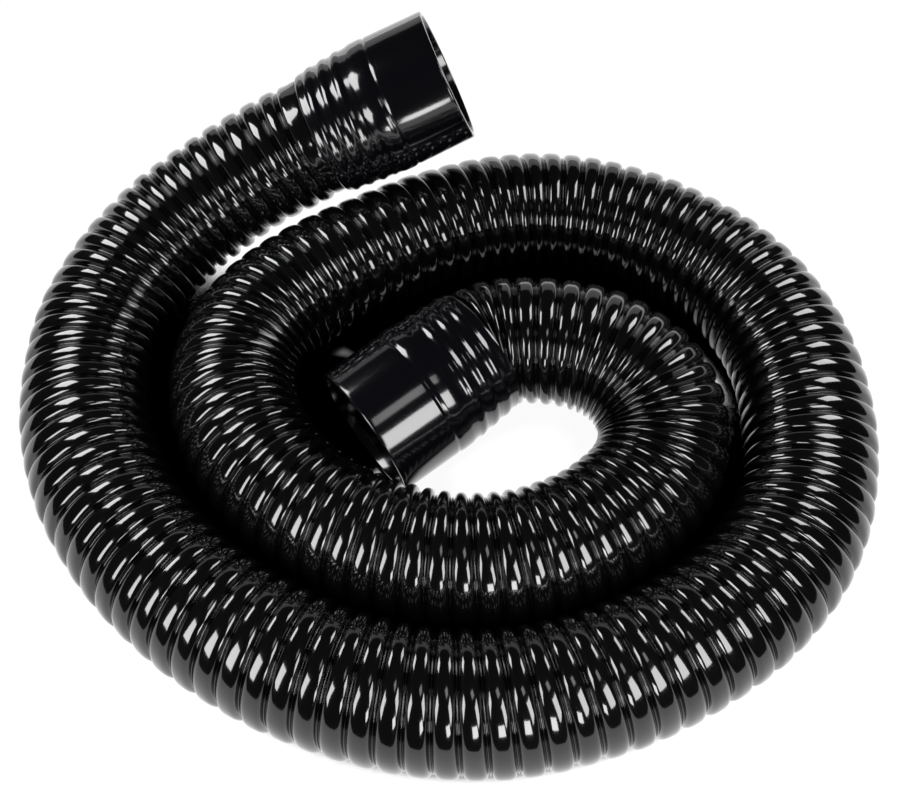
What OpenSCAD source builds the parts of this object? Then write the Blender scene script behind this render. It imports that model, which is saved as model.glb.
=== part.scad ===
// Flexible vacuum hose, lying in a coil of a little over two turns.
// A ribbed film wall is wound on a wire helix, and a one-piece cuff is glued over each
// end. The outer cuff stands up off the coil. The inner one rests on its mouth's rim.
// +Z is up, the floor is z = 0, and the origin lies under the middle of the whole part.

/* [Hose] */
// Outer diameter over the ribs, across the flats of the facets
hose_od = 48; // [46:1:52]
// Wall over the ribs, from the bore to the outside
hose_wall = 5; // [4:0.5:6]
// Depth of the grooves between the ribs
groove_depth = 2.5; // [1:0.1:3]
// Film from one rib to the next: their spacing along the outside of a bend
rib_film = 9.5; // [8:0.5:16]
// Wall of the plain end that goes into a cuff
plain_wall = 2.25; // [1.5:0.25:3]
// Clear gap between neighbouring turns of the coil
turn_gap = 1; // [1:0.5:6]

/* [Cuff] */
// Overall length
cuff_length = 56; // [52:1:70]
// Outer diameter of the pipe that the mouth slips over
pipe_od = 48.3; // [47:0.1:50]
// Clearance on that pipe's diameter
pipe_clearance = 0.4; // [0.2:0.1:0.8]
// Depth of the mouth, down to the stop
mouth_depth = 18; // [12:1:22]
// Wall around the mouth
mouth_wall = 2.2; // [1.6:0.1:3]
// Thickness of the stop between the pipe and the hose
stop_thickness = 2; // [1:0.5:4]
// Length of the smooth barrel at the mouth
barrel_length = 25; // [20:1:30]
// How much wider the barrel is where it ends
barrel_flare = 0.4; // [0:0.1:1]
// Bevel on the mouth's rim
rim_bevel = 0.6; // [0.2:0.1:1]
// Clearance round the hose's plain end in its socket
socket_clearance = 0.3; // [0.1:0.1:0.6]

/* [Cuff grip] */
// Length of the raised band behind the barrel
band_length = 7; // [4:1:10]
// Height of the band over the barrel
band_rise = 0.5; // [0.4:0.1:2]
// Bevel on the band's edges
band_bevel = 1; // [0.4:0.1:1.5]
// Wall of the skirt beside the band
skirt_wall = 3.6; // [2.5:0.1:5]
// Wall of the skirt at the hose
skirt_end_wall = 1.9; // [1.2:0.1:2.5]
// Number of rings round the skirt
ring_count = 3; // [1:1:4]
// Height of a ring
ring_rise = 0.4; // [0.3:0.1:1.2]
// Radius of a ring's rounded top
ring_radius = 2.5; // [1.5:0.1:3]
// Length of the hem at the hose
hem_length = 3; // [1:0.5:5]

/* [Lay] */
// Direction in which the outer cuff points, seen from above
outer_heading = 15; // [11:1:19]
// How steeply the outer cuff points up
outer_tilt = 20; // [16:1:22]
// Direction in which the inner cuff points, seen from above
inner_heading = -143; // [-147:1:-139]
// How steeply the inner cuff points down
inner_tilt = 7; // [3:1:9]

/* [Hidden] */
$fn = 96;

// Facets round the hose, and the radius across their corners for a radius across flats
sides = 8;
corner = 1 / cos(180 / sides);

// The hose lies on a flat a tenth of its diameter deep, cut from its corner circle
lying_height = hose_od / 2 * corner - hose_od / 10;

// Radii across the flats of the bore and of the plain end
bore_r = hose_od / 2 - hose_wall;
plain_r = bore_r + plain_wall;

// Cuff
mouth_r = (pipe_od + pipe_clearance) / 2;
rim_r = mouth_r + mouth_wall;
socket_r = plain_r * corner + socket_clearance;
hose_start = mouth_depth + stop_thickness;
skirt_length = cuff_length - barrel_length - band_length;
skirt_r = socket_r + skirt_wall;
skirt_end_r = socket_r + skirt_end_wall;

// Lay of the hose's centreline, drawn for turns 49 mm apart, as [x, y] where the hose
// lies on the floor and [x, y, height] where it is lifted
drawn_turn = 49;
lay = [
    [-114, 74, 32], [-137, 41, 26], [-138, 3], [-132, -28], [-115, -58], [-88, -85],
    [-55, -105], [-19, -118], [18, -121], [54, -113], [88, -97], [116, -75],
    [133, -46], [139, -11], [136, 23], [121, 53], [96, 75], [65, 89],
    [31, 93], [-4, 83], [-40, 64], [-69, 43], [-83, 18], [-81, -10],
    [-65, -37], [-38, -58], [-6, -70], [27, -70], [57, -58], [79, -37, 25],
    [86, -10, 31], [67, 26, 39]
];
lay_scale = (hose_od + turn_gap) / drawn_turn;

// A cuff is placed by the middle of its mouth and the way it points
outer_mouth = [1.5, 117.5, 75.5] * lay_scale;
inner_mouth = [-30 * lay_scale, -19 * lay_scale, rim_r * cos(inner_tilt)];
outer_axis = pointing(outer_heading, outer_tilt);
inner_axis = pointing(inner_heading, -inner_tilt);

// The hose is straight for one diameter from its end, in even steps
end_steps = 3;
end_step = hose_od / end_steps;
route = concat(
    [for (k = [-1:end_steps + 1]) behind(outer_mouth, outer_axis, k)],
    [for (p = lay) [p.x * lay_scale, p.y * lay_scale,
        max(lying_height, len(p) > 2 ? p.z * lay_scale : 0)]],
    [for (k = [end_steps + 1:-1:-1]) behind(inner_mouth, inner_axis, k)]
);

function pointing(heading, tilt) =
    [cos(heading) * cos(tilt), sin(heading) * cos(tilt), sin(tilt)];
function behind(mouth, axis, step) = mouth - axis * (hose_start + step * end_step);

// Uniform cubic B-spline through the route: place and slope at u
function span(u) = min(floor(u), len(route) - 4);
function place(u) = let (i = span(u), f = u - i, g = 1 - f) (
    route[i] * pow(g, 3)
    + route[i + 1] * (3 * pow(f, 3) - 6 * pow(f, 2) + 4)
    + route[i + 2] * (3 * pow(g, 3) - 6 * pow(g, 2) + 4)
    + route[i + 3] * pow(f, 3)) / 6;
function slope(u) = let (i = span(u), f = u - i, g = 1 - f) (
    (route[i + 1] - route[i]) * pow(g, 2)
    + (route[i + 2] - route[i + 1]) * (1 + 2 * f - 2 * pow(f, 2))
    + (route[i + 3] - route[i + 2]) * pow(f, 2)) / 2;
function unit(v) = v / norm(v);

// Samples of the centreline, its length, and its length along the outside of the bends
samples_per_span = 10;
last = (len(route) - 3) * samples_per_span;
us = [for (k = [0:last]) k / samples_per_span];
points = [for (u = us) place(u)];
slopes = [for (u = us) unit(slope(u))];
steps = [for (k = [1:last]) norm(points[k] - points[k - 1])];
bends = [for (k = [1:last]) asin(min(1, norm(cross(slopes[k - 1], slopes[k])))) * PI / 180];
lengths = running_sum(steps);
outsides = running_sum(steps + bends * hose_od / 2);
hose_length = lengths[last];

function running_sum(v) =
    [for (k = 0, sum = 0; k <= len(v); sum = sum + (k < len(v) ? v[k] : 0), k = k + 1) sum];
function u_at_length(s) = lookup(s, [for (k = [0:last]) [lengths[k], us[k]]]);
function outside_at_length(s) = lookup(s, [for (k = [0:last]) [lengths[k], outsides[k]]]);
u_of_outside = [for (k = [0:last]) [outsides[k], us[k]]];

// Ribs fill the hose from cuff to cuff, evenly along the outside of the bends
in_cuff = cuff_length - hose_start;
ribs_from = outside_at_length(in_cuff);
ribs_to = outside_at_length(hose_length - in_cuff);
rib_count = round((ribs_to - ribs_from) / rib_film);
rib_spacing = (ribs_to - ribs_from) / rib_count;
ribs_per_bore_ring = 2;
bore_steps = floor(rib_count / ribs_per_bore_ring);

function u_at_rib(k) = lookup(ribs_from + k * rib_spacing, u_of_outside);

// A station is [u, radius across the flats]
rib_r = hose_od / 2;
groove_r = rib_r - groove_depth;
wall_stations = concat(
    [[0, plain_r], [u_at_rib(0), plain_r], [u_at_rib(0.5), rib_r]],
    [for (k = [1:rib_count - 1]) each [[u_at_rib(k), groove_r], [u_at_rib(k + 0.5), rib_r]]],
    [[u_at_rib(rib_count), plain_r], [us[last], plain_r]]
);
bore_stations = concat(
    [[0, bore_r]],
    [for (k = [0:bore_steps]) [u_at_rib(k * rib_count / bore_steps), bore_r]],
    [[us[last], bore_r]]
);

// One ring of the hose, flat side down, and nowhere below the floor
function sideways(u) = unit(cross(slope(u), [0, 0, 1]));
function upwards(u) = cross(sideways(u), unit(slope(u)));
function towards(u, angle) = cos(angle) * sideways(u) + sin(angle) * upwards(u);
function ring(station) = [
    for (k = [0:sides - 1])
        let (p = place(station[0])
            + station[1] * corner * towards(station[0], (k + 0.5) * 360 / sides))
        [p.x, p.y, max(p.z, 0)]
];

wall_rings = len(wall_stations);
bore_rings = len(bore_stations);
hose_points = [
    for (station = wall_stations) each ring(station),
    for (station = bore_stations) each ring(station)
];

function at(i, k) = i * sides + k % sides;
function skin(first, rings, outward) = [
    for (i = [first:first + rings - 2], k = [0:sides - 1])
        let (a = at(i, k), b = at(i, k + 1), c = at(i + 1, k + 1), d = at(i + 1, k))
        each outward ? [[a, b, c], [a, c, d]] : [[c, b, a], [d, c, a]]
];
function end_face(wall, bore, facing_back) = [
    for (k = [0:sides - 1])
        let (a = at(wall, k), b = at(bore, k), c = at(bore, k + 1), d = at(wall, k + 1))
        each facing_back ? [[a, b, c], [a, c, d]] : [[c, b, a], [d, c, a]]
];
hose_faces = concat(
    skin(0, wall_rings, true),
    skin(wall_rings, bore_rings, false),
    end_face(0, wall_rings, true),
    end_face(wall_rings - 1, wall_rings + bore_rings - 1, false)
);

// Least gap between turns: from the corners of each rib to the facets of the others
rib_us = [for (k = [0:rib_count - 1]) u_at_rib(k + 0.5)];
one_turn_apart = 4 * hose_od / rib_spacing;
least_gap = min([
    for (i = [0:rib_count - 1], j = [0:rib_count - 1])
        if (abs(i - j) > one_turn_apart
            && norm(place(rib_us[i]) - place(rib_us[j])) < 1.2 * hose_od)
            for (corner_point = ring([rib_us[i], rib_r]))
                let (v = corner_point - place(rib_us[j]))
                if (abs(v * unit(slope(rib_us[j]))) < rib_spacing)
                    max([for (k = [0:sides - 1]) v * towards(rib_us[j], k * 360 / sides)])
                        - rib_r
]);
echo(hose_length = hose_length, ribs = rib_count, triangles = len(hose_faces));
echo(least_gap_between_turns = least_gap);
assert(rib_count <= 200);

module hose() {
    color("#1c1c1f")
        polyhedron(hose_points, hose_faces);
}

// The cuff's outside, with its mouth at z = 0 and its body below
module cuff_body() {
    translate([0, 0, -rim_bevel])
        cylinder(h = rim_bevel, r1 = rim_r, r2 = rim_r - rim_bevel);
    translate([0, 0, -barrel_length])
        cylinder(h = barrel_length - rim_bevel, r1 = rim_r + barrel_flare, r2 = rim_r);
    translate([0, 0, -barrel_length])
        cuff_band();
    translate([0, 0, -cuff_length])
        cuff_skirt();
}

module cuff_band() {
    band_r = rim_r + barrel_flare + band_rise;
    foot_r = band_r - band_bevel;
    translate([0, 0, -band_bevel])
        cylinder(h = band_bevel, r1 = band_r, r2 = foot_r);
    translate([0, 0, band_bevel - band_length])
        cylinder(h = band_length - 2 * band_bevel, r = band_r);
    translate([0, 0, -band_length])
        cylinder(h = band_bevel, r1 = foot_r, r2 = band_r);
}

module cuff_skirt() {
    cylinder(h = skirt_length, r1 = skirt_end_r, r2 = skirt_r);
    cylinder(h = hem_length, r = skirt_end_r + ring_rise);
    for (k = [1:ring_count]) {
        share = k / (ring_count + 1);
        ring_seat = skirt_end_r + (skirt_r - skirt_end_r) * share;
        translate([0, 0, skirt_length * share])
            rotate_extrude()
                translate([ring_seat + ring_rise - ring_radius, 0])
                    circle(r = ring_radius);
    }
}

module cuff_bores() {
    over = 1;
    translate([0, 0, -mouth_depth])
        cylinder(h = mouth_depth + over, r = mouth_r);
    translate([0, 0, -hose_start - over])
        cylinder(h = stop_thickness + 2 * over, r = bore_r);
    translate([0, 0, -cuff_length - over])
        cylinder(h = in_cuff + over, r = socket_r);
}

module cuff(mouth, heading, tilt) {
    color("#17171a")
        translate(mouth)
            rotate([0, 90 - tilt, heading])
                difference() {
                    cuff_body();
                    cuff_bores();
                }
}

module outer_cuff() {
    cuff(outer_mouth, outer_heading, outer_tilt);
}

module inner_cuff() {
    cuff(inner_mouth, inner_heading, -inner_tilt);
}

hose();
outer_cuff();
inner_cuff();
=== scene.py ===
"""Looks of a coiled vacuum hose: a helical film wall and two ridged cuffs, all glossy black."""

import math

import bpy
import numpy as np
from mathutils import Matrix, Vector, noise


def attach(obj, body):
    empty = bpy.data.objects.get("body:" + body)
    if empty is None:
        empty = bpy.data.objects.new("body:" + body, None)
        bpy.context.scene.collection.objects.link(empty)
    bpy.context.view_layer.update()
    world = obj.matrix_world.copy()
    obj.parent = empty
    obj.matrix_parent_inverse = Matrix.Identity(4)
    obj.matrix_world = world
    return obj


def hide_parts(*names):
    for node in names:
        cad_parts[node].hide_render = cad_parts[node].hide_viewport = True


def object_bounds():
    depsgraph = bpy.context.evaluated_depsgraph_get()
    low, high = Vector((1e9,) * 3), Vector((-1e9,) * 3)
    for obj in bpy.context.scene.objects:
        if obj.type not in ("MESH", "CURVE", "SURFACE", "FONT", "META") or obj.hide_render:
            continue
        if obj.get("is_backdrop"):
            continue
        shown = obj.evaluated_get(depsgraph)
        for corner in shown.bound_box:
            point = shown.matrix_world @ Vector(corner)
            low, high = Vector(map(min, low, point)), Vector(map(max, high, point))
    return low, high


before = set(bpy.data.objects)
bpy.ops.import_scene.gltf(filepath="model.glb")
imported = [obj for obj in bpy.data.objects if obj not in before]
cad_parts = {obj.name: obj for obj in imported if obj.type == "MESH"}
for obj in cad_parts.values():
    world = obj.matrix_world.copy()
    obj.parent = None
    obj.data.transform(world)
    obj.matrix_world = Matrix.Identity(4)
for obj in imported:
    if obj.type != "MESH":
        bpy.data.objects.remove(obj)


def write_size(which, sizes={}):
    """Keeps the CAD model's box and the visual model's box as plain lists."""
    low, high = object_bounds()
    sizes[which] = [[round(x, 6) for x in low], [round(x, 6) for x in high]]


write_size("cad")

MM = 0.001
BODY = "root"

# ---------------------------------------------------------------- camera

camera_data = bpy.data.cameras.new("camera")
camera = bpy.data.objects.new("camera", camera_data)
bpy.context.scene.collection.objects.link(camera)
camera.location = (0.003, -0.2199, 0.3849)
camera.rotation_euler = (math.radians(31), 0, 0)
camera_data.sensor_width = 36
camera_data.lens = 43.81
camera_data.clip_start = 0.02
camera_data.clip_end = 30
bpy.context.scene.camera = camera

# ---------------------------------------------------------------- the hose's line

# Millimetres from here on. LYING is the middle line's height where the hose lies on the floor.
HOSE_OD = 48.0
LYING = 24.0
HOSE_START = 20.0
CUFF_LENGTH = 56.0
IN_CUFF = CUFF_LENGTH - HOSE_START

OUTER_MOUTH = np.array([1.5, 117.5, 75.5])
INNER_MOUTH = np.array([-30.0, -19.0, 26.352])


def pointing(heading, tilt):
    h, t = math.radians(heading), math.radians(tilt)
    return np.array([math.cos(h) * math.cos(t), math.sin(h) * math.cos(t), math.sin(t)])


OUTER_AXIS = pointing(15, 20)
INNER_AXIS = pointing(-143, -7)

# [x, y] where the hose lies on the floor, [x, y, height] where it is lifted, in mm
LAY = [
    (-111, 79, 34), (-137, 40, 26), (-139, 4), (-132, -28), (-115, -58), (-88, -85),
    (-55, -105), (-19, -118), (18, -121), (54, -113), (88, -97), (116, -75),
    (133, -46), (139, -11), (136, 23), (121, 53), (96, 75), (65, 89),
    (31, 93), (-4, 83), (-40, 64), (-69, 43), (-83, 18), (-81, -10),
    (-65, -37), (-38, -58), (-6, -70), (27, -70), (57, -58), (80, -37, 25),
    (85, -10, 31), (62, 14, 38),
]
# How far apart the route's points are along the straight pieces at the cuffs
OUTER_STEP = 14.0
INNER_STEP = 11.0


def route_points():
    first = [OUTER_MOUTH - OUTER_AXIS * (HOSE_START + k * OUTER_STEP) for k in range(-1, 5)]
    middle = [np.array([p[0], p[1], p[2] if len(p) > 2 else LYING], float) for p in LAY]
    end = [INNER_MOUTH - INNER_AXIS * (HOSE_START + k * INNER_STEP) for k in range(4, -2, -1)]
    return np.array(first + middle + end)


ROUTE = route_points()


def spline(u):
    """Place, slope and second derivative of the uniform cubic B-spline."""
    i = np.minimum(np.floor(u).astype(int), len(ROUTE) - 4)
    f = (u - i)[:, None]
    g = 1 - f
    r0, r1, r2, r3 = (ROUTE[i + k] for k in range(4))
    place = (
        r0 * g**3 + r1 * (3 * f**3 - 6 * f**2 + 4) + r2 * (3 * g**3 - 6 * g**2 + 4) + r3 * f**3
    ) / 6
    slope = ((r1 - r0) * g**2 + (r2 - r1) * (1 + 2 * f - 2 * f**2) + (r3 - r2) * f**2) / 2
    bend = r0 * g + r1 * (3 * f - 2) + r2 * (1 - 3 * f) + r3 * f
    return place, slope, bend


SAMPLE_COUNT = 4000
SAMPLES = np.linspace(0, len(ROUTE) - 3, SAMPLE_COUNT)
PLACES, SLOPES, SECONDS = spline(SAMPLES)
SPEED = np.linalg.norm(SLOPES, axis=1)
TANGENTS = SLOPES / SPEED[:, None]
ALONG = (SECONDS * TANGENTS).sum(1)
CURVES = (SECONDS - TANGENTS * ALONG[:, None]) / (SPEED**2)[:, None]
BEND = np.linalg.norm(CURVES, axis=1)
STEP = np.linalg.norm(np.diff(PLACES, axis=0), axis=1)
LENGTH = np.concatenate([[0], np.cumsum(STEP)])
MIDBEND = (BEND[1:] + BEND[:-1]) / 2
OUTSIDE = np.concatenate([[0], np.cumsum(STEP * (1 + MIDBEND * HOSE_OD / 2))])
HOSE_LENGTH = LENGTH[-1]


def smooth(x):
    x = np.clip(x, 0, 1)
    return x * x * (3 - 2 * x)


def at(values, key, keys):
    return np.stack([np.interp(key, keys, values[:, k]) for k in range(3)], -1)


# ---------------------------------------------------------------- the hose's wall

RIBS = 158
# Turns of wire past the ribs at each end, hidden in the cuffs
EXTRA = 2
# Vertices round the hose
ROUND = 72
# Radii: the film over a wire, the plain ends, the bore, and the bore under a lobe
WIRE_R = 21.9
PLAIN_R = 21.25
BORE_R = 19.3
FOLD_R = 20.4

# The film's lobe between two wires: how far it stands over WIRE_R, and how much more where it
# is squeezed. Wires WIDE apart leave it slack and wires TIGHT apart squeeze it fully.
LOBE_RISE = 2.2
TIGHT_RISE = 0.5
WIDE = 9.4
TIGHT = 5.0
LEAST_SPACING, MOST_SPACING = 3.0, 9.8
LOBE_FOOT = 0.3
CROWN_POWER = 0.8
SLACK_POWER, SQUEEZE_POWER, POWER_WANDER = 3.7, 0.9, 1.3
RISE_WANDER, RISE_PUCKER = 0.14, 0.05
# Noise for the lobes and the drawn film: its size and its seed
WANDER_NOISE = (1.6, 0)
PUCKER_NOISE = (2.6, 9)
CONE_NOISE = (3.0, 21)
FINER = 2.5

# The film drawn smooth behind the outer cuff
CONE_R = 23.5
CONE_LENGTH = 4.0
CONE_FADE = 5.0
CONE_LUMPS = 0.5

# The plain end turns into the ribbed wall just inside a cuff
END_LEAD, END_FADE = 3.0, 4.0
LEAST_HEIGHT = 0.02

# The seam's strip over the wire and the groove beside it: [mm from the wire, mm over WIRE_R]
STRIP = [(0.0, 0.75), (0.2, 0.64), (0.34, 0.3), (0.44, 0.0), (0.54, 0.1)]
FOOT = STRIP[-1][0]
# Where the spacing is small, the strip takes at most this share of it on each side
STRIP_SHARE = 0.3
LOBE = [0.035, 0.09, 0.18, 0.32, 0.5, 0.68, 0.82, 0.91, 0.965]
ROWS = 2 * len(STRIP) - 1 + len(LOBE)

OUT_FROM = np.interp(IN_CUFF, LENGTH, OUTSIDE)
OUT_TO = np.interp(HOSE_LENGTH - IN_CUFF, LENGTH, OUTSIDE)
PITCH_OUT = (OUT_TO - OUT_FROM) / RIBS
PHI = np.arange(ROUND) / ROUND * 2 * math.pi
SHARE_ROUND = PHI / (2 * math.pi)


def lumps(rib, size, seed):
    """Smooth noise on the tube: one value for each place [rib, PHI]."""
    values = np.zeros_like(rib)
    for i in range(rib.shape[0]):
        for j in range(ROUND):
            x, y = math.cos(PHI[j]) * size + seed, math.sin(PHI[j]) * size
            values[i, j] = noise.noise(Vector((x, y, rib[i, j] * 0.25 * size)))
    return values


def around(s):
    """Centres, outward directions and curvature at the stations s, as [rows, ROUND, 3]."""
    centre = at(PLACES, s, LENGTH)
    tangent = at(TANGENTS, s, LENGTH)
    tangent /= np.linalg.norm(tangent, axis=-1, keepdims=True)
    side = np.cross(tangent, [0, 0, 1])
    side /= np.linalg.norm(side, axis=-1, keepdims=True)
    up = np.cross(side, tangent)
    out = np.cos(PHI)[None, :, None] * up + np.sin(PHI)[None, :, None] * side
    return centre, out, at(CURVES, s, LENGTH)


def wire_spacing(turns):
    """How far apart the wires on both sides of each lobe are, as [turns, ROUND]."""
    rib = turns[:, None] + 0.5 + SHARE_ROUND[None, :]
    s = np.interp(OUT_FROM + rib * PITCH_OUT, OUTSIDE, LENGTH)
    out, curve = around(s)[1:]
    bend = np.linalg.norm(curve, axis=-1)
    spacing = PITCH_OUT / (1 + bend * HOSE_OD / 2) * (1 - WIRE_R * (curve * out).sum(-1))
    return np.clip(spacing, LEAST_SPACING, MOST_SPACING)


def wall_rows(spacing, centre_rib):
    """Each turn's rows, as shares of the way to the next wire and as radii."""
    wander = lumps(centre_rib, *WANDER_NOISE)
    pucker = lumps(centre_rib * FINER, *PUCKER_NOISE)
    tightness = smooth((WIDE - spacing) / (WIDE - TIGHT))
    rise = LOBE_RISE + TIGHT_RISE * tightness
    rise = rise * (1 + RISE_WANDER * wander + RISE_PUCKER * pucker)
    power = SLACK_POWER - SQUEEZE_POWER * tightness + POWER_WANDER * wander
    narrow = np.minimum(1, STRIP_SHARE * spacing / FOOT)
    foot = FOOT * narrow / spacing
    level = np.zeros_like(spacing)
    shares = [mm * narrow / spacing for mm, over in STRIP]
    radii = [WIRE_R + over + level for mm, over in STRIP]
    for share in LOBE:
        shares.append(foot + (1 - 2 * foot) * share)
        crown = 1 - abs(2 * share - 1) ** power
        radii.append(WIRE_R + LOBE_FOOT + (rise - LOBE_FOOT) * crown**CROWN_POWER)
    shares += [1 - mm * narrow / spacing for mm, over in STRIP[:0:-1]]
    radii += [WIRE_R + over + level for mm, over in STRIP[:0:-1]]
    return [np.stack(values, 1).reshape(-1, ROUND) for values in (shares, radii)]


def hose_wall():
    """Vertices on lines that follow the wire helix, as [rows, ROUND, 3]."""
    turns = np.arange(RIBS + 2 * EXTRA) - EXTRA
    centre_rib = turns[:, None] + SHARE_ROUND[None, :]
    share, radius = wall_rows(wire_spacing(turns), centre_rib)
    rib = np.repeat(centre_rib, ROWS, axis=0) + share
    s = np.interp(OUT_FROM + rib * PITCH_OUT, OUTSIDE, LENGTH)
    centre, out = around(s)[:2]
    drawn = 1 - smooth((s - IN_CUFF - CONE_LENGTH) / CONE_FADE)
    cone = CONE_R + CONE_LUMPS * lumps(rib * FINER, *CONE_NOISE)
    radius = radius + (cone - radius) * drawn
    from_start = smooth((s - IN_CUFF + END_LEAD) / END_FADE)
    to_end = smooth((HOSE_LENGTH - IN_CUFF + END_LEAD - s) / END_FADE)
    radius = PLAIN_R + (radius - PLAIN_R) * from_start * to_end
    points = centre + out * radius[..., None]
    points[..., 2] = np.maximum(points[..., 2], LEAST_HEIGHT)
    return points


def ring_of(s, radius):
    """A ring of vertices square to the hose's line."""
    centre, out = around(np.array([s]))[:2]
    return (centre + radius * out)[0]


def vertex(row, place):
    """The wall's vertex in a row. A place past the full round is one turn of wire further on."""
    return (row + ROWS * (place // ROUND)) * ROUND + place % ROUND


def wall_faces(rows):
    faces = []
    for i in range(rows - 1):
        for j in range(ROUND):
            if i + 1 + ROWS * ((j + 1) // ROUND) < rows:
                corners = ((i, j), (i, j + 1), (i + 1, j + 1), (i + 1, j))
                faces.append(tuple(vertex(*corner) for corner in corners))
    return faces


def end_faces(first, last, rows):
    """Faces from the wall's stepped ends to the square rings at the hose's ends."""
    top = rows - 1 - ROWS
    faces = []
    for j in range(ROUND):
        faces.append((first + j, first + (j + 1) % ROUND, vertex(0, j + 1), vertex(0, j)))
    for i in range(ROWS):
        faces.append((first, vertex(i + 1, 0), vertex(i, 0)))
    for j in range(ROUND):
        faces.append((vertex(top, j), vertex(top, j + 1), last + (j + 1) % ROUND, last + j))
    for i in range(top, rows - 1):
        faces.append((vertex(i, 0), vertex(i + 1, 0), last))
    return faces


def bore_rings():
    """The bore, hollowed a little under every lobe."""
    rings = [ring_of(0.0, BORE_R)]
    for n in range(2 * RIBS + 1):
        s = np.interp(OUT_FROM + n / 2 * PITCH_OUT, OUTSIDE, LENGTH)
        rings.append(ring_of(s, BORE_R if n % 2 == 0 else FOLD_R))
    return rings + [ring_of(HOSE_LENGTH, BORE_R)]


def hose_mesh():
    wall = hose_wall()
    rows = len(wall)
    rings = [ring_of(0.0, PLAIN_R), ring_of(HOSE_LENGTH, PLAIN_R)] + bore_rings()
    starts = [(rows + n) * ROUND for n in range(len(rings))]
    first, last = starts[:2]
    faces = wall_faces(rows) + end_faces(first, last, rows)
    lining = [first] + starts[2:] + [last]
    for one, other in zip(lining, lining[1:]):
        for j in range(ROUND):
            k = (j + 1) % ROUND
            faces.append((one + k, one + j, other + j, other + k))
    return np.concatenate([wall.reshape(-1, 3)] + rings), faces


def add_mesh(name, points, faces, material):
    mesh = bpy.data.meshes.new(name)
    mesh.from_pydata((np.asarray(points) * MM).tolist(), [], faces)
    mesh.validate()
    mesh.polygons.foreach_set("use_smooth", [True] * len(mesh.polygons))
    mesh.materials.append(material)
    mesh.update()
    piece = bpy.data.objects.new(name, mesh)
    bpy.context.scene.collection.objects.link(piece)
    return piece


# ---------------------------------------------------------------- materials

LAYER_IOR = 1.5
COAT_WEIGHT = 0.6
LEAST_ROUGH, MOST_ROUGH = 0.75, 1.3


def add_noise(nodes, links, scale, detail):
    place = nodes.new("ShaderNodeTexCoord")
    texture = nodes.new("ShaderNodeTexNoise")
    texture.inputs["Scale"].default_value = scale
    texture.inputs["Detail"].default_value = detail
    links.new(place.outputs["Object"], texture.inputs["Vector"])
    return texture.outputs["Fac"]


def glossy(name, colour, roughness, coat_roughness, grain, depth, waves):
    """Glossy plastic: grain and waves are noise scales, depth is how deep the waves are in m."""
    material = bpy.data.materials.new(name)
    material.use_nodes = True
    nodes, links = material.node_tree.nodes, material.node_tree.links
    shader = nodes["Principled BSDF"]
    shader.inputs["Base Color"].default_value = (*colour, 1)
    shader.inputs["IOR"].default_value = LAYER_IOR
    shader.inputs["Coat Weight"].default_value = COAT_WEIGHT
    shader.inputs["Coat IOR"].default_value = LAYER_IOR
    shader.inputs["Coat Roughness"].default_value = coat_roughness
    rough = nodes.new("ShaderNodeMapRange")
    rough.inputs["To Min"].default_value = roughness * LEAST_ROUGH
    rough.inputs["To Max"].default_value = roughness * MOST_ROUGH
    links.new(add_noise(nodes, links, grain, 3), rough.inputs["Value"])
    links.new(rough.outputs["Result"], shader.inputs["Roughness"])
    bump = nodes.new("ShaderNodeBump")
    bump.inputs["Distance"].default_value = depth
    links.new(add_noise(nodes, links, waves, 1), bump.inputs["Height"])
    links.new(bump.outputs["Normal"], shader.inputs["Normal"])
    links.new(bump.outputs["Normal"], shader.inputs["Coat Normal"])
    return material


FILM_LOOK = glossy("hose_film", (0.002, 0.002, 0.0021), 0.11, 0.05, 900, 0.00003, 110)
CUFF_LOOK = glossy("cuff_moulding", (0.002, 0.002, 0.0032), 0.13, 0.09, 700, 0.00004, 60)
PATH_STEP = 6.0

hose_points, hose_faces = hose_mesh()
hose = add_mesh("hose_wall", hose_points, hose_faces, FILM_LOOK)
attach(hose, BODY)
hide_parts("hose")

path_s = np.arange(0, HOSE_LENGTH, PATH_STEP)
hose_path = (at(PLACES, path_s, LENGTH) * MM).tolist()
hose_path.append((PLACES[-1] * MM).tolist())

# ---------------------------------------------------------------- cuffs

CUFF_ROUND = 128
MOUTH_R = 24.35
MOUTH_DEPTH = 18.0
SOCKET_R = 23.3
STOP_BORE = 19.0

# The rounded rim of the mouth
RIM = 0.9
RIM_R = 26.45
RIM_SQUASH = 0.9
RIM_STEPS = 6

# The thread-like ridge on the skirt. RIDGE_HALF is half its width as a share of the pitch.
RIDGE_PITCH = 6.0
RIDGE_AT = 38.5
RIDGE_RISE = 0.62
RIDGE_HALF = 0.42
# The outside behind the rim, without its ridges: [mm from the mouth, radius]
BARREL = [
    (2.0, 26.48), (6.0, 26.54), (12.0, 26.66), (18.0, 26.78), (23.6, 26.88), (24.3, 26.84),
    (24.7, 26.66), (25.1, 26.6), (25.5, 26.72), (26.1, 26.98), (26.9, 27.14), (28.0, 27.2),
    (30.0, 27.2), (31.0, 27.15), (31.8, 27.02), (32.6, 26.82), (33.4, 26.68),
]
SKIRT_FROM, SKIRT_TO = 34.0, 54.5
SKIRT_R, SKIRT_END_R = 26.6, 25.1
SKIRT_STEP = 0.4
RIDGE_FADE_IN, RIDGE_FADE_OUT = 2.5, 2.0
HEM = [(55.0, 25.0), (55.6, 24.85), (56.0, 24.5)]
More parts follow.
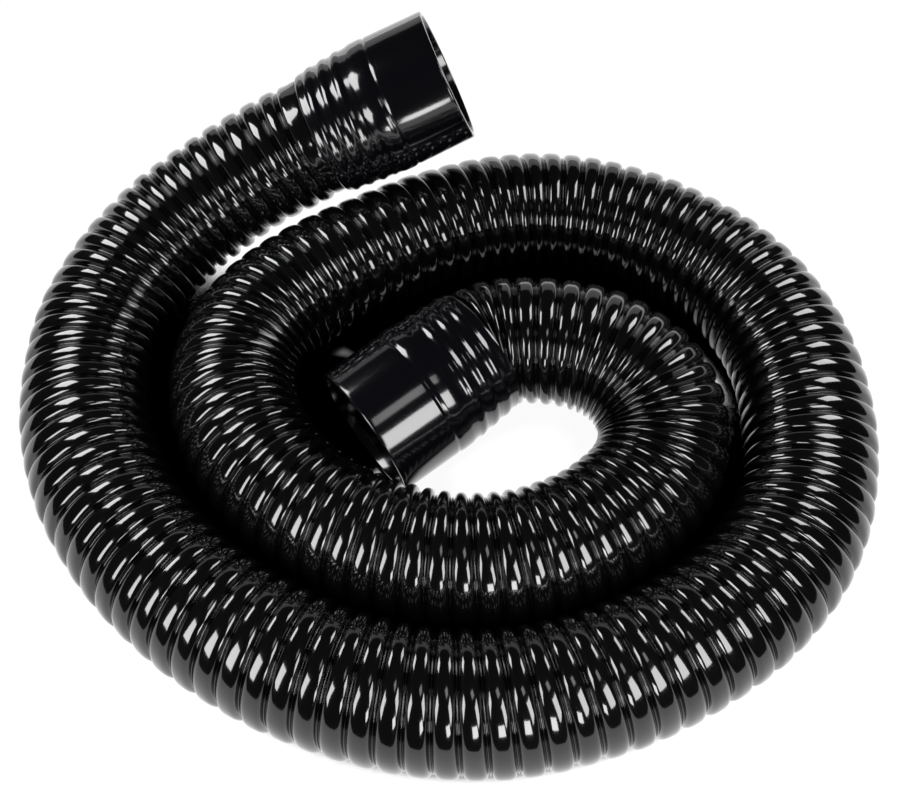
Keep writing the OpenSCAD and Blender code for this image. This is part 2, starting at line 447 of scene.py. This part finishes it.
# The inside, from the hem to the mouth: the socket, the stop and the mouth's bore
INSIDE = [
    (56.0, 24.1), (55.6, 23.95), (55.0, 23.8), (52.0, 23.4), (HOSE_START, SOCKET_R),
    (HOSE_START, STOP_BORE), (MOUTH_DEPTH, STOP_BORE), (MOUTH_DEPTH, MOUTH_R - 0.2),
    (MOUTH_DEPTH - 0.2, MOUTH_R), (9.0, MOUTH_R), (0.5, MOUTH_R), (0.15, MOUTH_R + 0.12),
    (0.0, MOUTH_R + 0.4),
]


def cuff_profile():
    """The closed profile of a cuff, as [mm from the mouth, radius, share of the ridges]."""
    profile = []
    for k in range(RIM_STEPS, -1, -1):
        a = math.pi / 2 * k / RIM_STEPS
        inset = RIM * (1 - math.cos(a)) * RIM_SQUASH
        profile.append((RIM * (1 - math.sin(a)), RIM_R - inset, 0))
    profile += [(d, r, 0) for d, r in BARREL]
    for d in np.arange(SKIRT_FROM, SKIRT_TO + 0.01, SKIRT_STEP):
        along = (d - SKIRT_FROM) / (SKIRT_TO - SKIRT_FROM)
        fade_in = smooth((d - SKIRT_FROM) / RIDGE_FADE_IN)
        fade_out = smooth((SKIRT_TO + 0.5 - d) / RIDGE_FADE_OUT)
        radius = SKIRT_R + (SKIRT_END_R - SKIRT_R) * along
        profile.append((float(d), radius, float(fade_in * fade_out)))
    profile += [(d, r, 0) for d, r in HEM + INSIDE]
    return profile


def ridge(depth, phi):
    """Height of the thread-like ridge that winds round the skirt."""
    phase = (depth - RIDGE_AT) / RIDGE_PITCH - phi / (2 * math.pi)
    x = (phase + 0.5) % 1 - 0.5
    wave = np.cos(math.pi * np.clip(x / RIDGE_HALF, -1, 1))
    return RIDGE_RISE * np.maximum(0, wave * 0.5 + 0.5)


def cuff_mesh(mouth, axis):
    profile = cuff_profile()
    side = np.cross(axis, [0, 0, 1])
    side /= np.linalg.norm(side)
    up = np.cross(side, axis)
    phi = np.arange(CUFF_ROUND) / CUFF_ROUND * 2 * math.pi
    out = np.cos(phi)[:, None] * up + np.sin(phi)[:, None] * side
    points = []
    for depth, radius, share in profile:
        height = radius + share * ridge(depth, phi)
        points.append(mouth - axis * depth + out * height[:, None])
    faces = []
    for i in range(len(profile)):
        row, after = i * CUFF_ROUND, (i + 1) % len(profile) * CUFF_ROUND
        for j in range(CUFF_ROUND):
            k = (j + 1) % CUFF_ROUND
            faces.append((row + j, row + k, after + k, after + j))
    return np.concatenate(points), faces


for name, mouth, axis in (
    ("outer_cuff", OUTER_MOUTH, OUTER_AXIS),
    ("inner_cuff", INNER_MOUTH, INNER_AXIS),
):
    points, faces = cuff_mesh(mouth, axis)
    cuff = add_mesh(name + "_moulding", points, faces, CUFF_LOOK)
    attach(cuff, BODY)
    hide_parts(name)

# ---------------------------------------------------------------- light and backdrop

FLOOR_Z = -0.0004
FLOOR_HALF = 6.0
# The floor is white where it lies open within REACH (m), and painted dark where the hose closes
# in: painted shade, taken from the ambient occlusion
REACH = 0.03
OPENNESS_RAYS = 48
DARK_BELOW, WHITE_ABOVE = 0.37, 0.44
PAPER_WHITE = 1.06
GLOW = 0.95
# Round patches of painted light and shade, in m: stretch, middle, the radius where the edge
# starts and where it ends.
# The pocket at the inner mouth and the gap behind the inner turn get painted shadow, the hole is
# painted white over the painted shade.
POCKET_SHADOW = ((1, 1, 1), (-0.05, 0.002, 0), 0.031, 0.037)
BACK_GAP_SHADOW = ((1, 2, 1), (0.035, 0.124, 0), 0.09, 0.103)
HOLE_PAINTED_WHITE = ((0.8, 1, 1), (0.02, -0.014, 0), 0.031, 0.038)


def outside_patch(nodes, links, stretch, middle, start, end):
    """0 within a round patch of the floor and 1 outside it, for the patches of painted shadow
    and painted white.
    """
    place = nodes.new("ShaderNodeTexCoord")
    scaled = nodes.new("ShaderNodeVectorMath")
    scaled.operation = "MULTIPLY"
    scaled.inputs[1].default_value = stretch
    links.new(place.outputs["Object"], scaled.inputs[0])
    away = nodes.new("ShaderNodeVectorMath")
    away.operation = "DISTANCE"
    away.inputs[1].default_value = middle
    links.new(scaled.outputs["Vector"], away.inputs[0])
    edge = nodes.new("ShaderNodeMapRange")
    edge.interpolation_type = "SMOOTHSTEP"
    edge.inputs["From Min"].default_value = start
    edge.inputs["From Max"].default_value = end
    links.new(away.outputs["Value"], edge.inputs["Value"])
    return edge.outputs["Result"]


def combine(nodes, links, operation, first, second):
    node = nodes.new("ShaderNodeMath")
    node.operation = operation
    for socket, value in zip(node.inputs, (first, second)):
        if isinstance(value, (int, float)):
            socket.default_value = value
        else:
            links.new(value, socket)
    return node.outputs["Value"]


def painted_floor_shade(nodes, links):
    """The floor's painted shade: white where the floor lies open, from the room over it,
    darkened by the painted shadow patches, and painted white in the hole.
    """
    room = nodes.new("ShaderNodeAmbientOcclusion")
    room.samples = OPENNESS_RAYS
    room.inputs["Distance"].default_value = REACH
    ramp = nodes.new("ShaderNodeMapRange")
    ramp.interpolation_type = "SMOOTHSTEP"
    ramp.inputs["From Min"].default_value = DARK_BELOW
    ramp.inputs["From Max"].default_value = WHITE_ABOVE
    ramp.inputs["To Max"].default_value = PAPER_WHITE
    links.new(room.outputs["AO"], ramp.inputs["Value"])
    white = ramp.outputs["Result"]
    # Painted shadow patches at the pocket and behind the inner turn
    for patch in (POCKET_SHADOW, BACK_GAP_SHADOW):
        white = combine(nodes, links, "MULTIPLY", white, outside_patch(nodes, links, *patch))
    # The hole is painted white over the painted shade
    hole = combine(nodes, links, "SUBTRACT", 1, outside_patch(nodes, links, *HOLE_PAINTED_WHITE))
    return combine(nodes, links, "MAXIMUM", white, hole)


def paper_with_painted_shade():
    """A white floor that glows, with painted shade where the hose closes in over it."""
    material = bpy.data.materials.new("paper_with_painted_shade")
    material.cycles.emission_sampling = "NONE"
    material.use_nodes = True
    nodes, links = material.node_tree.nodes, material.node_tree.links
    nodes.remove(nodes["Principled BSDF"])
    white = painted_floor_shade(nodes, links)
    glow = nodes.new("ShaderNodeEmission")
    glow.inputs["Color"].default_value = (1, 1, 1, 1)
    # The painted shade sets the glow's strength here and the matt colour below
    links.new(white, glow.inputs["Strength"])
    matt = nodes.new("ShaderNodeBsdfDiffuse")
    links.new(white, matt.inputs["Color"])
    both = nodes.new("ShaderNodeMixShader")
    both.inputs["Fac"].default_value = GLOW
    links.new(matt.outputs["BSDF"], both.inputs[1])
    links.new(glow.outputs["Emission"], both.inputs[2])
    links.new(both.outputs["Shader"], nodes["Material Output"].inputs["Surface"])
    return material


def add_floor():
    mesh = bpy.data.meshes.new("floor")
    h = FLOOR_HALF
    corners = [(-h, -h, FLOOR_Z), (h, -h, FLOOR_Z), (h, h, FLOOR_Z), (-h, h, FLOOR_Z)]
    mesh.from_pydata(corners, [], [(0, 1, 2, 3)])
    mesh.materials.append(paper_with_painted_shade())
    floor = bpy.data.objects.new("floor", mesh)
    bpy.context.scene.collection.objects.link(floor)
    floor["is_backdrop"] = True


# Lamps: place, width and height in mm, then radiance
AIM = (0, 0, 30)
SOFTBOXES = {
    "front_right_box": ((147, -198, 188), 100, 125, 9.5),
    "front_left_box": ((-190, -190, 190), 100, 150, 10),
    "back_left_box": ((-218, 115, 219), 120, 130, 10),
    "back_right_box": ((218, 115, 219), 110, 150, 8),
    "top_right_box": ((86, -132, 422), 90, 90, 2.5),
    "front_box": ((44, -235, 112), 60, 44, 12),
    "back_card": ((0, 900, 180), 1400, 420, 0.45),
}
WORLD_LIGHT = 0.02
BACKDROP = 1.0


def add_softbox(name, place, width, height, radiance):
    """A soft lamp turned to the middle of the coil."""
    light = bpy.data.lights.new(name, "AREA")
    light.shape = "RECTANGLE"
    light.size = width * MM
    light.size_y = height * MM
    light.energy = radiance * math.pi * light.size * light.size_y
    lamp = bpy.data.objects.new(name, light)
    lamp.location = Vector(place) * MM
    lamp.rotation_mode = "QUATERNION"
    lamp.rotation_quaternion = (Vector(place) - Vector(AIM)).to_track_quat("Z", "Y")
    bpy.context.scene.collection.objects.link(lamp)
    lamp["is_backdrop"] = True


def add_world():
    """White to the camera and almost black to the hose."""
    world = bpy.data.worlds.new("world")
    bpy.context.scene.world = world
    world.use_nodes = True
    nodes, links = world.node_tree.nodes, world.node_tree.links
    background = nodes["Background"]
    background.inputs["Color"].default_value = (1, 1, 1, 1)
    ray = nodes.new("ShaderNodeLightPath")
    mix = nodes.new("ShaderNodeMix")
    mix.inputs["A"].default_value = WORLD_LIGHT
    mix.inputs["B"].default_value = BACKDROP
    links.new(ray.outputs["Is Camera Ray"], mix.inputs["Factor"])
    links.new(mix.outputs["Result"], background.inputs["Strength"])


add_floor()
for name, lamp in SOFTBOXES.items():
    add_softbox(name, *lamp)
add_world()

bpy.context.scene.view_settings.view_transform = "Standard"

write_size("visual")
